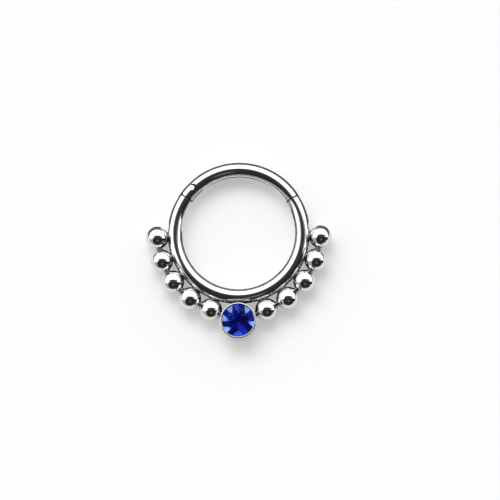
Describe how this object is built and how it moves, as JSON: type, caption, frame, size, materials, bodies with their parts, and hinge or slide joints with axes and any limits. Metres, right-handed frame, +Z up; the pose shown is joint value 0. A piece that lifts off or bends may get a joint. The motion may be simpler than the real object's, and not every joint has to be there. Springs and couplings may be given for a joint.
{
  "type": "nose hoop",
  "caption": "Hinged nose hoop of round polished wire, with soldered balls round its lower half and a bezel-set round cut stone at the bottom.",
  "frame": {"origin": "on the surface that the ring lies on, under the middle of its outline", "axes": "+Z up along the ring's own axis, +Y towards the middle of the hinged segment, -Y towards the stone, +X to the latch side"},
  "size_m": [0.0164, 0.0158, 0.0021],
  "materials": {
    "polished_steel": "mirror polished surgical steel",
    "blue_stone": "cut and polished royal blue crystal with a mirrored back"
  },
  "bodies": {
    "ring": {"hoop": "polished_steel", "stone": "blue_stone"},
    "segment": {"hinged_segment": "polished_steel", "hinge_pin": "polished_steel"}
  },
  "joints": [
    {"name": "segment_hinge", "type": "hinge", "parent": "ring", "child": "segment", "pos_m": [-0.00414, 0.0056, 0.001], "axis": [0, 0, 1], "range_deg": [0, 90]}
  ]
}
